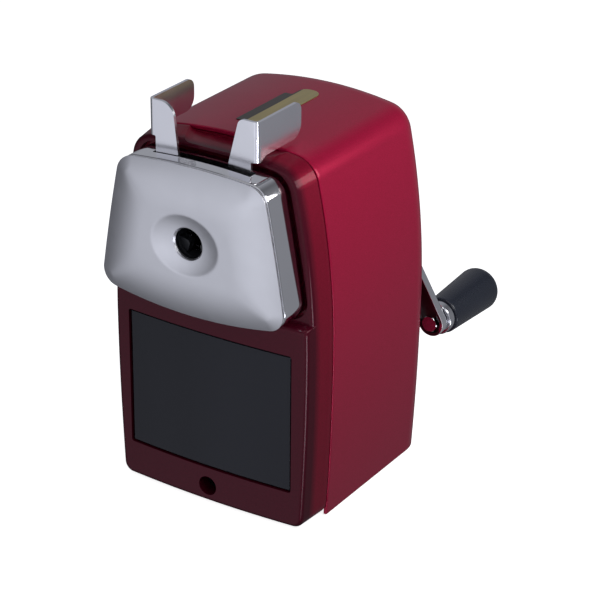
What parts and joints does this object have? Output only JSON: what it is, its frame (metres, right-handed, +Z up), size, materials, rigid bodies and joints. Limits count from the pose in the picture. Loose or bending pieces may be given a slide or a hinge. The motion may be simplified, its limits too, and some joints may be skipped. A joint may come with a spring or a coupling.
{
  "type": "pencil sharpener",
  "caption": "Hand-cranked desk pencil sharpener with a sprung front carriage, pinch levers, a clear-front shavings drawer and a rear crank.",
  "frame": {"origin": "on the surface the sharpener rests on, under the middle of its base", "axes": "+X to the right seen from the front, +Y to the rear where the crank is, +Z up"},
  "size_m": [0.0783, 0.1258, 0.1326],
  "materials": {
    "red_paint": "gloss metallic",
    "chrome": "polished",
    "satin_metal": "satin plated",
    "steel": "turned",
    "black_plastic": "fine satin",
    "smoked_plastic": "clear smoked",
    "rubber": "matte",
    "brass": "turned",
    "foil": "printed foil"
  },
  "bodies": {
    "body": {"main_shell": "red_paint", "front_bezel": "red_paint", "base_plate": "black_plastic", "rubber_foot_1": "rubber", "rubber_foot_2": "rubber", "rubber_foot_3": "rubber", "rubber_foot_4": "rubber", "base_screw_1": "steel", "base_screw_2": "steel", "base_screw_3": "steel", "base_screw_4": "steel", "clamp_socket": "steel", "top_label": "foil", "mechanism_housing": "black_plastic", "housing_screw_1": "steel", "housing_screw_2": "steel", "housing_screw_3": "steel", "ring_gear": "steel", "pencil_guide": "black_plastic", "rear_bush": "black_plastic", "rear_escutcheon": "chrome", "guide_bush_left": "brass", "guide_bush_right": "brass", "return_spring_left": "steel", "return_spring_right": "steel"},
    "drawer": {"drawer": "smoked_plastic"},
    "crank": {"crank_arm": "chrome", "crank_shaft": "steel", "crank_nut": "chrome", "handle_spindle": "chrome", "cutter_carrier": "satin_metal", "cutter_pin": "steel"},
    "handle": {"handle_grip": "black_plastic", "handle_ferrule": "chrome"},
    "cutter": {"cutter": "steel", "cutter_pinion": "steel"},
    "carriage": {"carriage_frame": "chrome", "face_plate": "satin_metal", "face_screw_1": "steel", "face_screw_2": "steel", "face_screw_3": "steel", "face_screw_4": "steel", "chuck_housing": "black_plastic", "guide_rod_left": "steel", "guide_rod_right": "steel", "rod_clip_left": "steel", "rod_clip_right": "steel", "lever_spring": "steel"},
    "lever_left": {"lever_left": "chrome"},
    "lever_right": {"lever_right": "chrome"},
    "claw_1": {"claw_1": "black_plastic"},
    "claw_2": {"claw_2": "black_plastic"},
    "claw_3": {"claw_3": "black_plastic"}
  },
  "joints": [
    {"name": "crank_spin", "type": "hinge", "parent": "body", "child": "crank", "pos_m": [0, 0.04, 0.093], "axis": [0, 1, 0], "continuous": true},
    {"name": "handle_spin", "type": "hinge", "parent": "crank", "child": "handle", "pos_m": [0.0338, 0.06, 0.0404], "axis": [0, 1, 0], "continuous": true},
    {"name": "cutter_spin", "type": "hinge", "parent": "crank", "child": "cutter", "pos_m": [0, 0.026, 0.1002], "axis": [0, 0.9877, -0.1564], "continuous": true},
    {"name": "carriage_slide", "type": "slide", "parent": "body", "child": "carriage", "axis": [0, -1, 0], "range_m": [0, 0.035], "stiffness_N_per_m": 60, "springref_m": -0.05, "deforming": ["return_spring_left", "return_spring_right"]},
    {"name": "lever_left_turn", "type": "hinge", "parent": "carriage", "child": "lever_left", "pos_m": [0, -0.0335, 0.093], "axis": [0, 1, 0], "range_deg": [0, 12], "stiffness_Nm_per_rad": 0.35, "springref_deg": -17.19, "deforming": ["lever_spring"]},
    {"name": "lever_right_turn", "type": "hinge", "parent": "carriage", "child": "lever_right", "pos_m": [0, -0.0319, 0.093], "axis": [0, 1, 0], "range_deg": [-12.5, 0]},
    {"name": "claw_1_slide", "type": "slide", "parent": "carriage", "child": "claw_1", "axis": [0, 0, 1], "range_m": [0, 0.0023]},
    {"name": "claw_2_slide", "type": "slide", "parent": "carriage", "child": "claw_2", "axis": [-0.866, 0, -0.5], "range_m": [0, 0.0023]},
    {"name": "claw_3_slide", "type": "slide", "parent": "carriage", "child": "claw_3", "axis": [0.866, 0, -0.5], "range_m": [0, 0.0023]},
    {"name": "drawer_slide", "type": "slide", "parent": "body", "child": "drawer", "axis": [0, -1, 0], "range_m": [0, 0.062]}
  ],
  "couplings": [
    {"joint": "cutter_spin", "follows": "crank_spin", "ratio": -2},
    {"joint": "lever_right_turn", "follows": "lever_left_turn", "ratio": -1},
    {"joint": "claw_1_slide", "follows": "lever_left_turn", "m_per_rad": 0.010504},
    {"joint": "claw_2_slide", "follows": "lever_left_turn", "m_per_rad": 0.010504},
    {"joint": "claw_3_slide", "follows": "lever_left_turn", "m_per_rad": 0.010504}
  ]
}
